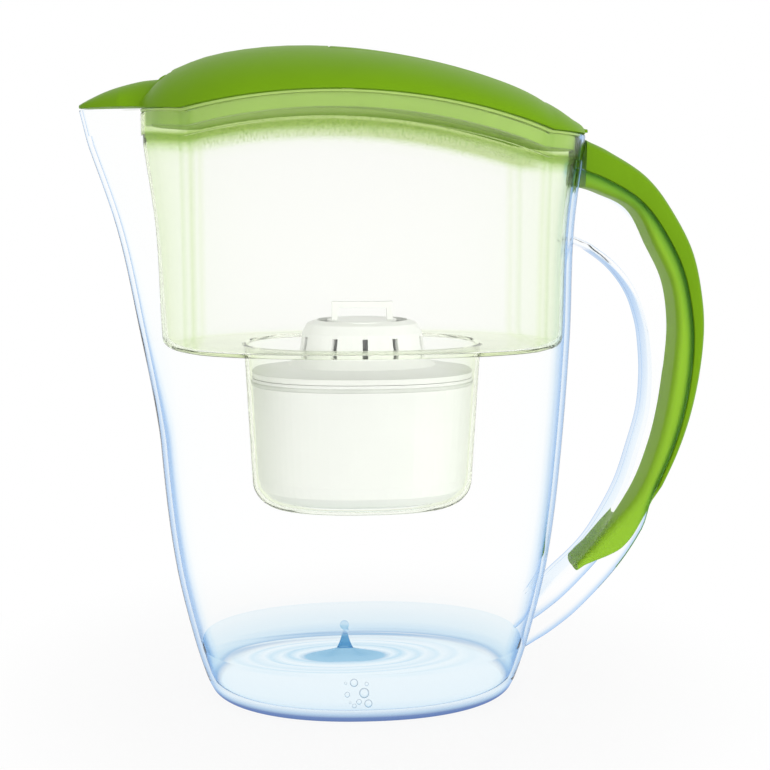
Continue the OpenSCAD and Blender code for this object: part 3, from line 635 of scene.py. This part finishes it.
def flipPanel():
    w, nip, mid = ls["wall"], 0.5, np.array([ls["flipX"], 0])
    inner = flipLine(-nip)
    rings = [onTop(mix(mid, inner, t)) for t in np.linspace(0.02, 0.98, 20)]
    rings += [onTop(flipLine(-nip * (1 - p)), nip * q) for p, q in arc(5)]
    for p, q in arc(5)[::-1]:
        e = flipLine(-nip * (1 - p))
        rings.append(np.column_stack([e, lidTop(e[:, 0], e[:, 1]) - w + nip * q]))
    rings += [onTop(mix(mid, inner, t), w) for t in np.linspace(0.98, 0.02, 12)]
    return loft("flipPanel", rings)


def flipLid():
    tools = [thumbTab()]
    for side in (-1, 1):
        y, t = side * (ls["pinHalf"] - 1.5 * ls["ear"] - 0.4), ls["ear"] / 2
        tools.append(rod("knuckle", hingeX, hingeZ, knuckle, y - t, y + t, 64, 0.25))
        tools.append(block("knuckleWeb", (hingeX - 1.8, y - t, hingeZ),
                           (hingeX + knuckle, y + t, hingeZ + ls["hingeDown"] - ls["wall"] * 0.5)))
    body = join(flipPanel(), tools, "UNION")
    return join(body, [pinBore(hingeX, hingeZ, 2 * ls["pinHalf"] + 2)], "DIFFERENCE")


flipPiece = place(flipLid(), "flip_lid_green", "flip_lid_body", "flip_lid")


# spout flap

def flapHalf(d):
    out = d / js["spoutReach"]
    if out <= 0:
        return bs["halfWid"]
    share = math.sqrt(max(0.004, 1 - math.sqrt(min(0.99, out))))
    return min(bs["halfWid"], (js["spoutHalfWid"] - 1) * share)


def flapBody():
    rings, count, lift = [], 48, js["lidRoom"]
    marks = [*np.linspace(-bs["pivotBack"] + 1, 18, 40), *np.linspace(18.4, js["spoutReach"] - 0.4, 12)]
    for d in marks[::-1]:
        half, base = flapHalf(d), frontZ + lift
        rise = float(hermite(bs["rise"], d)) - lift
        edge = min(1.2, rise * 0.5)
        v = np.cos(np.linspace(0, math.pi, count + 1))
        x = -js["rimHalfLen"] - d
        row = [(x, half * a, base + edge + (rise - edge) * float(dome(abs(a)))) for a in v]
        row += [(x, -half * 0.996, base + 0.1), (x, -half * 0.97, base), (x, half * 0.97, base),
                (x, half * 0.996, base + 0.1)]
        rings.append(row)
    return loft("flapBody", rings)


def spoutFlap():
    body, half = flapBody(), bs["halfWid"]
    body = join(body, [rod("barrel", pivotX, pivotZ, bs["barrel"], -half, half, 128, 0.4)], "UNION")
    return join(body, [pinBore(pivotX, pivotZ, 2 * half + 2)], "DIFFERENCE")


flapPiece = place(spoutFlap(), "spout_flap_green", "spout_flap_body", "spout_flap")


# water in the jug, with the ring of ripples and the jet of a fallen drop

waterShape = {
    "level": 20.5, "gap": 0.15, "centre": (-8.8, -24), "spread": (58, 27), "rings": 5, "swing": 0.5,
    "jetHigh": 16, "jetSoft": 2.1, "jetTop": 10.3,
    "drops": [(-8.4, -24, 31.3, 1.2), (-9, -24, 33.4, 1.9)],
    "bubbles": [(-6.2, 15.4, 1.6), (-2.1, 11, 2), (-8.9, 10.5, 1.1), (-4.2, 7.3, 1.1), (-0.4, 6.5, 1.6),
                (-6.1, 5.6, 0.9), (-9.6, 15.3, 0.6), (-1.1, 14.8, 0.8), (-7.8, 7.1, 0.5)],
    "bubbleY": -42.5,
}
ws = waterShape


def waterTop(x, y):
    cx, cy = ws["centre"]
    away = np.hypot((x - cx) / ws["spread"][0], (y - cy) / ws["spread"][1])
    wave = ws["swing"] * np.cos(2 * math.pi * ws["rings"] * away)
    wave = wave * np.clip(1.3 - away, 0, 1) * np.clip(away * 5, 0, 1)
    jet = ws["jetHigh"] * np.exp(-np.hypot(x - cx, y - cy) / ws["jetSoft"])
    return ws["level"] + wave + np.minimum(jet, ws["jetTop"])


def waterBody():
    inset, floor, level = js["wall"] + ws["gap"], js["floor"] + ws["gap"], ws["level"]
    turn = js["floorRound"]
    rings = [jugRing(inset + turn * b, floor + turn * (1 - a)) for a, b in arc(7)[::-1]]
    rings += [jugRing(inset, z) for z in np.linspace(floor + turn, level, 8)[1:]]
    edge = jugRing(inset, level)[:, :2]
    middle = np.array(ws["centre"], float)
    for t in np.concatenate([np.linspace(0, 0.9, 100)[1:], np.linspace(0.9, 0.999, 40)[1:]]):
        p = mix(edge, middle, t)
        rings.append(np.column_stack([p, waterTop(p[:, 0], p[:, 1])]))
    return loft("waterBody", rings, False, 60)


def ball(name, at, radius, count=24):
    rings, u, tip = [], 2 * math.pi * np.arange(count) / count, math.pi / 2 - 0.05
    for a in np.linspace(-tip, tip, count):
        wide, z = radius * math.cos(a), at[2] + radius * math.sin(a)
        rings.append(np.stack([at[0] + wide * np.cos(u), at[1] + wide * np.sin(u), np.full(count, z)], 1))
    return loft(name, rings, False, 60)


drops = [ball("drop", at[:3], at[3]) for at in ws["drops"]]
waterPiece = place(join(waterBody(), drops, "UNION", 60), "water", "jug_body")
balls = [ball("bubble", (x, ws["bubbleY"], z), radius) for x, z, radius in ws["bubbles"]]
bubblePiece = place(join(balls[0], balls[1:], "UNION", 60), "water_bubbles", "jug_body")


# material helpers

# a plain value is set on the socket, anything else is linked to it
def feed(tree, value, socket):
    if isinstance(value, (int, float, tuple)):
        socket.default_value = value
    else:
        tree.links.new(value, socket)


def addNode(tree, kind, props=None, **values):
    node = tree.nodes.new(kind)
    for key, value in (props or {}).items():
        setattr(node, key, value)
    for key, value in values.items():
        feed(tree, value, node.inputs[key.replace("_", " ")])
    return node


def reckon(tree, operation, *values):
    node = addNode(tree, "ShaderNodeMath", {"operation": operation})
    for value, socket in zip(values, node.inputs):
        feed(tree, value, socket)
    return node.outputs[0]


def reckonVector(tree, operation, first, second=None):
    node = addNode(tree, "ShaderNodeVectorMath", {"operation": operation})
    feed(tree, first, node.inputs[0])
    if second is not None:
        feed(tree, second, node.inputs["Scale" if operation == "SCALE" else 1])
    return node.outputs["Value" if operation == "LENGTH" else "Vector"]


def spanned(tree, value, low, high, lowest=0, highest=1, how="LINEAR"):
    return addNode(tree, "ShaderNodeMapRange", {"interpolation_type": how}, Value=value,
                   From_Min=low, From_Max=high, To_Min=lowest, To_Max=highest).outputs[0]


# where a point of the piece lies, or which way it faces, along one axis if that is named
def spotOn(tree, axis=None, kind="Object"):
    spot = tree.nodes.new("ShaderNodeTexCoord").outputs[kind]
    if axis is None:
        return spot
    return addNode(tree, "ShaderNodeSeparateXYZ", Vector=spot).outputs[axis]


def along(tree, axis, low, high):
    return spanned(tree, spotOn(tree, axis), low * mm, high * mm)


def noise(tree, scale, **values):
    return addNode(tree, "ShaderNodeTexNoise", Vector=spotOn(tree), Scale=scale, **values).outputs["Fac"]


def ramp(tree, value, stops):
    node = addNode(tree, "ShaderNodeValToRGB", Fac=value)
    elements = node.color_ramp.elements
    while len(elements) < len(stops):
        elements.new(0.5)
    for element, (at, colour) in zip(elements, stops):
        element.position, element.color = at, (*colour, 1)
    return node.outputs["Color"]


def blend(tree, share, first, second, how="MIX"):
    node = addNode(tree, "ShaderNodeMix", {"data_type": "RGBA", "blend_type": how})
    for value, i in ((share, 0), (first, 6), (second, 7)):
        feed(tree, value, node.inputs[i])
    return node.outputs[2]


def tinted(tree, first, second):
    return blend(tree, 1, first, second, "MULTIPLY")


# white where the mask is 0, the colour where it is 1
def masked(tree, mask, colour):
    return blend(tree, mask, (1, 1, 1, 1), colour)


# 1 on faces that stand upright, 0 on level ones
def upright(tree):
    return spanned(tree, reckon(tree, "ABSOLUTE", spotOn(tree, "Z", "Normal")), 0.98, 0.85)


def shadeOf(tree):
    return addNode(tree, "ShaderNodeAttribute", {"attribute_name": "shade"}).outputs["Fac"]


# distance below the jug's arched rim, in metres
def belowRim(tree):
    x = spotOn(tree, "X")
    bow = reckon(tree, "MULTIPLY_ADD", reckon(tree, "MULTIPLY", x, x), -1 / (js["archHalf"] * mm) ** 2, 1)
    rim = reckon(tree, "MULTIPLY_ADD", reckon(tree, "MAXIMUM", bow, 0), js["archRise"] * mm, js["rimZ"] * mm)
    return reckon(tree, "SUBTRACT", reckon(tree, "MULTIPLY_ADD", x, -js["rimFall"], rim), spotOn(tree, "Z"))


def absorb(tree, colour, density):
    inside = addNode(tree, "ShaderNodeVolumeAbsorption", Color=(*colour, 1), Density=density)
    tree.links.new(inside.outputs[0], tree.nodes["Material Output"].inputs["Volume"])


def newGroup(name, inputs, outputs):
    group = bpy.data.node_groups.new(name, "ShaderNodeTree")
    for label, kind, value in inputs:
        socket = group.interface.new_socket(name=label, in_out="INPUT", socket_type="NodeSocket" + kind)
        if value is not None:
            socket.default_value = value
    for label, kind in outputs:
        group.interface.new_socket(name=label, in_out="OUTPUT", socket_type="NodeSocket" + kind)
    return group, group.nodes.new("NodeGroupInput").outputs, group.nodes.new("NodeGroupOutput").inputs


def newMaterial(name, **values):
    mat = bpy.data.materials.new(name)
    mat.use_nodes = True
    shader = mat.node_tree.nodes["Principled BSDF"]
    for key, value in values.items():
        shader.inputs[key.replace("_", " ")].default_value = value
    return mat, mat.node_tree, shader


def srgb(*colour):
    return tuple(c / 255 / 12.92 if c <= 10 else ((c / 255 + 0.055) / 1.055) ** 2.4 for c in colour)


def dress(mat, *pieces):
    for piece in pieces:
        piece.data.materials.clear()
        piece.data.materials.append(mat)
        for face in piece.data.polygons:
            face.material_index = 0


# moulded surfaces

grainShape = {"broad": 38.0, "spread": (0.3, 0.7), "high": 0.0002}


# fine moulded grain: a little unevenness in colour, roughness and surface
def mouldGrain():
    group, given, made = newGroup(
        "mouldGrain",
        [("Color", "Color", None), ("Roughness", "Float", 0.4), ("Grain Size", "Float", 0.0006),
         ("Grain", "Float", 0.1), ("Mottle", "Float", 0.05)],
        [("Color", "Color"), ("Roughness", "Float"), ("Normal", "Vector")])
    fine = noise(group, reckon(group, "DIVIDE", 1, given["Grain Size"]), Detail=3.0, Roughness=0.6)
    broad = noise(group, grainShape["broad"], Detail=4.0)
    uneven = spanned(group, broad, *grainShape["spread"], -1, 1)
    tone = reckon(group, "MULTIPLY_ADD", uneven, given["Mottle"], 1)
    bump = addNode(group, "ShaderNodeBump", Distance=grainShape["high"], Strength=given["Grain"], Height=fine)
    feed(group, reckonVector(group, "SCALE", given["Color"], tone), made["Color"])
    feed(group, reckon(group, "MULTIPLY", given["Roughness"], tone), made["Roughness"])
    feed(group, bump.outputs[0], made["Normal"])
    return group


grain = mouldGrain()
# the second green is the lid's green painted lighter, standing in for light on the tongue and the tip
greenInk, tongueLitGreen = srgb(120, 168, 14), srgb(144, 190, 46)

# colour, roughness, grain size in metres, grain strength, mottle, and what else the shader takes
finishes = {
    "greenSatin": (greenInk, 0.45, 0.0007, 0.12, 0.03, {"IOR": 1.46, "Specular_IOR_Level": 0.16}),
    "greenFrame": (srgb(176, 206, 110), 0.25, 0.0009, 0.06, 0.03, {"IOR": 1.3}),
    "whiteShell": ((0.95, 0.96, 0.94), 0.4, 0.0008, 0.08, 0.015, {}),
    "whiteCap": ((0.97, 0.98, 0.95), 0.3, 0.0008, 0.06, 0.01, {}),
    "sealRubber": ((0.8, 0.82, 0.78), 0.7, 0.0005, 0.25, 0.06, {}),
    "granules": ((0.045, 0.04, 0.036), 0.75, 0.0011, 0.9, 0.4, {}),
    "screenMesh": ((0.72, 0.76, 0.78), 0.6, 0.0006, 0.5, 0.1, {}),
    "pinSteel": ((0.6, 0.6, 0.6), 0.3, 0.0004, 0.1, 0.05, {"Metallic": 1.0}),
}


def grained(name, finish):
    colour, roughness, size, strength, mottle, extra = finishes[finish]
    mat, tree, shader = newMaterial(name, **extra)
    skin = addNode(tree, "ShaderNodeGroup", {"node_tree": grain}, Color=(*colour, 1), Roughness=roughness,
                   Grain_Size=size, Grain=strength, Mottle=mottle)
    for label, socket in (("Color", "Base Color"), ("Roughness", "Roughness"), ("Normal", "Normal")):
        tree.links.new(skin.outputs[label], shader.inputs[socket])
    return mat, tree, skin


# the green of the lid, with painted light on the tongue in the channel and on the tip: a lighter green there,
# to offset the shade in the channel
def gripGreen():
    mat, tree, skin = grained("gripGreen", "greenSatin")
    feed(tree, ramp(tree, shadeOf(tree), [(0, greenInk), (1, tongueLitGreen)]), skin.inputs["Color"])
    return mat


# clear plastic, frosted plastic and water: low IOR, and a tint that deepens where the surface turns away; the
# tint is the material's own, and its deepening at the edges is painted shade standing in for refraction

# edge, foot and rim are painted shade in blue: where the surface turns away, at the foot, and at the channel's
# rim
clearLook = {
    "rough": 0.01, "ior": 1.07, "through": 1.0, "footHigh": 32,
    "edge": [(0, (1, 1, 1)), (0.42, (0.995, 1, 1)), (0.56, (0.955, 0.985, 1)), (0.68, (0.72, 0.85, 0.98)),
             (0.78, (0.3, 0.5, 0.84)), (0.88, (0.09, 0.26, 0.64)), (1, (0.04, 0.16, 0.5))],
    "foot": [(0, (0.012, 0.035, 0.18)), (0.08, (0.03, 0.07, 0.28)), (0.12, (0.22, 0.4, 0.68)),
             (0.18, (0.6, 0.78, 0.93)), (0.3, (0.82, 0.92, 0.98)), (0.55, (0.93, 0.975, 1)),
             (0.8, (1, 1, 1))],
    "rim": [(0.8, (1, 1, 1)), (0.93, (0.78, 0.88, 0.98)), (1, (0.5, 0.68, 0.93))],
}
frostedLook = {
    "rough": 0.08, "ior": 1.08, "through": 0.96, "inside": (0.9, 0.97, 0.66), "density": 18,
    "bandHigh": 30, "speckScale": 1400.0, "panel": (60, 80),
    "edge": [(0, (1, 1, 0.99)), (0.4, (0.98, 1, 0.95)), (0.7, (0.96, 0.985, 0.9)), (1, (0.8, 0.89, 0.6))],
    "band": [(0, (0.9, 0.95, 0.78)), (0.27, (0.88, 0.94, 0.74)), (0.33, (0.58, 0.7, 0.34)),
             (0.42, (0.62, 0.74, 0.38)), (0.49, (0.9, 0.95, 0.82)), (0.54, (0.985, 0.995, 0.97)),
             (0.7, (1, 1, 1))],
    "specks": [(0.36, (0.62, 0.74, 0.4)), (0.44, (1, 1, 1))],
    "speckFade": [(0.28, (0, 0, 0)), (0.34, (1, 1, 1)), (0.46, (0.7, 0.7, 0.7)), (0.58, (0, 0, 0))],
    "creaseShade": [(0.3, (1, 1, 1)), (0.42, (0.94, 0.97, 0.87)), (0.5, (0.99, 1, 0.97)), (0.6, (0.9, 0.95, 0.82)),
                (0.66, (0.99, 1, 0.97)), (1, (0.99, 1, 0.96))],
}
waterLook = {
    "rough": 0.0, "ior": 1.02, "through": 1.0, "inside": (0.62, 0.85, 0.97), "density": 5, "poolHigh": 30,
    "edge": [(0, (1, 1, 1)), (0.5, (0.97, 0.99, 1)), (0.75, (0.86, 0.94, 0.98)), (1, (0.55, 0.75, 0.9))],
    "rippleShade": [(0, (0.08, 0.27, 0.5)), (0.28, (0.18, 0.42, 0.66)), (0.34, (0.9, 0.96, 1)),
             (0.4, (0.46, 0.7, 0.86)), (0.46, (0.97, 0.99, 1)), (0.53, (0.6, 0.79, 0.91)),
             (0.58, (0.98, 0.99, 1)), (0.66, (0.72, 0.86, 0.94)), (0.7, (0.98, 0.99, 1)),
             (0.79, (0.8, 0.9, 0.96)), (0.83, (0.99, 1, 1)), (0.92, (0.88, 0.95, 0.98)),
             (1, (0.97, 0.99, 1))],
}
bubbleLook = {
    "rough": 0.0, "ior": 1.06, "through": 1.0,
    "edge": [(0, (1, 1, 1)), (0.25, (0.97, 0.99, 1)), (0.5, (0.6, 0.68, 0.76)), (0.75, (0.16, 0.22, 0.3)),
             (1, (0.08, 0.12, 0.2))],
}


def seeThrough(name, look):
    mat, tree, shader = newMaterial(name, Roughness=look["rough"], IOR=look["ior"],
                                    Transmission_Weight=look["through"])
    if "inside" in look:
        absorb(tree, look["inside"], look["density"])
    facing = addNode(tree, "ShaderNodeLayerWeight", Blend=0.5)
    return mat, tree, shader.inputs["Base Color"], ramp(tree, facing.outputs["Facing"], look["edge"])


# painted shade in blue where it turns away and at the foot, standing in for refraction, but only on upright
# faces, and a painted blue edge shade at the channel's rim
def clearPlastic():
    mat, tree, colour, edge = seeThrough("clearPlastic", clearLook)
    foot = ramp(tree, along(tree, "Z", 0, clearLook["footHigh"]), clearLook["foot"])
    front = reckon(tree, "SUBTRACT", 1, tree.nodes.new("ShaderNodeNewGeometry").outputs["Backfacing"])
    wall = masked(tree, upright(tree), tinted(tree, edge, masked(tree, front, foot)))
    feed(tree, tinted(tree, ramp(tree, shadeOf(tree), clearLook["rim"]), wall), colour)
    return mat


# a speckled green band under the collar, and painted shade lines where the side panels step in
def frostedPlastic():
    look = frostedLook
    mat, tree, colour, edge = seeThrough("frostedPlastic", look)
    down = spanned(tree, belowRim(tree), 0, look["bandHigh"] * mm)
    specks = ramp(tree, noise(tree, look["speckScale"], Detail=2.0), look["specks"])
    band = blend(tree, ramp(tree, down, look["speckFade"]), ramp(tree, down, look["band"]), specks, "MULTIPLY")
    low, high = look["panel"]
    across = spanned(tree, reckon(tree, "ABSOLUTE", spotOn(tree, "X")), low * mm, high * mm)
    lined = tinted(tree, ramp(tree, across, look["creaseShade"]), band)
    feed(tree, tinted(tree, edge, lined), colour)
    return mat


# painted shade: rings of blue round the fallen drop, on the water's surface alone, standing in for the way the
# ripples catch the light
def clearWater():
    mat, tree, colour, edge = seeThrough("clearWater", waterLook)
    (x, y), (wide, deep) = ws["centre"], ws["spread"]
    offset = reckonVector(tree, "SUBTRACT", spotOn(tree), (x * mm, y * mm, ws["level"] * mm))
    flat = reckonVector(tree, "DIVIDE", offset, (wide * mm, deep * mm, waterLook["poolHigh"] * mm))
    rippleShade = ramp(tree, reckonVector(tree, "LENGTH", flat), waterLook["rippleShade"])
    surface = ramp(tree, along(tree, "Z", ws["level"] - 2, ws["level"] - 1), [(0, (0, 0, 0)), (1, (1, 1, 1))])
    feed(tree, tinted(tree, edge, masked(tree, surface, rippleShade)), colour)
    return mat


# painted shade: the bubbles darken towards their rims, where the surface turns away
def bubbleSkin():
    mat, tree, colour, edge = seeThrough("bubbleSkin", bubbleLook)
    feed(tree, edge, colour)
    return mat


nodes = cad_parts
dress(clearPlastic(), jug)
dress(frostedPlastic(), funnel)
dress(clearWater(), waterPiece)
dress(bubbleSkin(), bubblePiece)
dress(gripGreen(), grip)
worn = {
    "greenSatin": [lidPiece, flipPiece, flapPiece], "greenFrame": [framePiece],
    "whiteShell": [nodes["cartridge_shell"]], "whiteCap": [nodes["cartridge_cap"]],
    "sealRubber": [nodes["cartridge_seal"]], "granules": [nodes["filter_granules"]],
    "screenMesh": [nodes["cartridge_top_screen"], nodes["cartridge_bottom_screen"]],
    "pinSteel": [nodes["flip_hinge_pin"], nodes["spout_flap_pin"]],
}
for finish, pieces in worn.items():
    dress(grained(finish, finish)[0], *pieces)
for piece in (jug, funnel, waterPiece, bubblePiece):
    piece.visible_shadow = False
for piece in (lidPiece, flipPiece, framePiece, nodes["filter_granules"]):
    piece.visible_diffuse = False
print("materials made")


# floor, world, lamps, camera

studio = {
    "worldGlow": (0.5, 1.0), "floorHalf": 30, "floorGrey": 0.9, "floorFade": (0.08, 0.2, 0.91, 1.0),
    "aim": (0, 0, 0.14), "lens": 62.715, "sensor": 36, "shift": (0.0299, -0.0191), "clip": (0.01, 100),
    "cameraAt": (-0.0391, -0.5586, 0.215), "lookDown": 8, "heading": (0.0698, 0.9976),
}
lamps = {  # place, width in metres, power in watts
    "keyLamp": ((1.0, -1.6, 0.5), 1.2, 16), "fillLamp": ((-1.3, -1.2, 0.5), 1.2, 2),
    "topLamp": ((0, 0.2, 2.0), 1.5, 2),
}


# 1 for what the camera sees, straight or through glass or a reflection
def rayKinds(tree):
    path = tree.nodes.new("ShaderNodeLightPath").outputs
    seen = reckon(tree, "MAXIMUM", path["Is Camera Ray"], path["Is Glossy Ray"])
    return reckon(tree, "MAXIMUM", seen, path["Is Transmission Ray"])


def makeWorld():
    world = bpy.data.worlds.new("studio")
    world.use_nodes = True
    tree = world.node_tree
    back = tree.nodes["Background"]
    back.inputs["Color"].default_value = (1, 1, 1, 1)
    feed(tree, spanned(tree, rayKinds(tree), 0, 1, *studio["worldGlow"]), back.inputs["Strength"])
    scene.world = world


def makeFloor():
    size, grey = studio["floorHalf"], studio["floorGrey"]
    mesh = bpy.data.meshes.new("floor")
    corners = [(-size, -size, 0), (size, -size, 0), (size, size, 0), (-size, size, 0)]
    mesh.from_pydata(corners, [], [(0, 1, 2, 3)])
    floor = bpy.data.objects.new("floor", mesh)
    scene.collection.objects.link(floor)
    mat, tree, shader = newMaterial("floorWhite", Base_Color=(grey, grey, grey, 1), Roughness=0.9,
                                    Specular_IOR_Level=0.0)
    away = reckonVector(tree, "LENGTH", spotOn(tree))
    share = reckon(tree, "MULTIPLY", rayKinds(tree), spanned(tree, away, *studio["floorFade"], "SMOOTHSTEP"))
    glow = addNode(tree, "ShaderNodeEmission", Strength=1.0)
    both = addNode(tree, "ShaderNodeMixShader")
    for i, value in enumerate((share, shader.outputs[0], glow.outputs[0])):
        feed(tree, value, both.inputs[i])
    tree.links.new(both.outputs[0], tree.nodes["Material Output"].inputs["Surface"])
    dress(mat, floor)


def makeLamp(name, at, size, power):
    data = bpy.data.lights.new(name, "AREA")
    data.shape, data.size, data.energy = "DISK", size, power
    piece = bpy.data.objects.new(name, data)
    scene.collection.objects.link(piece)
    piece.location = at
    piece.rotation_euler = (Vector(studio["aim"]) - Vector(at)).to_track_quat("-Z", "Y").to_euler()
    piece.visible_camera = piece.visible_transmission = piece.visible_glossy = False


def makeCamera():
    data = bpy.data.cameras.new("camera")
    data.lens, data.sensor_width, data.sensor_fit = studio["lens"], studio["sensor"], "HORIZONTAL"
    data.shift_x, data.shift_y = studio["shift"]
    data.clip_start, data.clip_end = studio["clip"]
    data.dof.use_dof = False
    piece = bpy.data.objects.new("camera", data)
    scene.collection.objects.link(piece)
    piece.location = studio["cameraAt"]
    tilt, (x, y) = math.radians(studio["lookDown"]), studio["heading"]
    ahead = Vector((x * math.cos(tilt), y * math.cos(tilt), -math.sin(tilt)))
    piece.rotation_euler = ahead.to_track_quat("-Z", "Y").to_euler()
    scene.camera = piece


makeWorld()
makeFloor()
for name, (at, size, power) in lamps.items():
    makeLamp(name, at, size, power)
makeCamera()
scene.view_settings.view_transform = "Standard"
print("stage made")
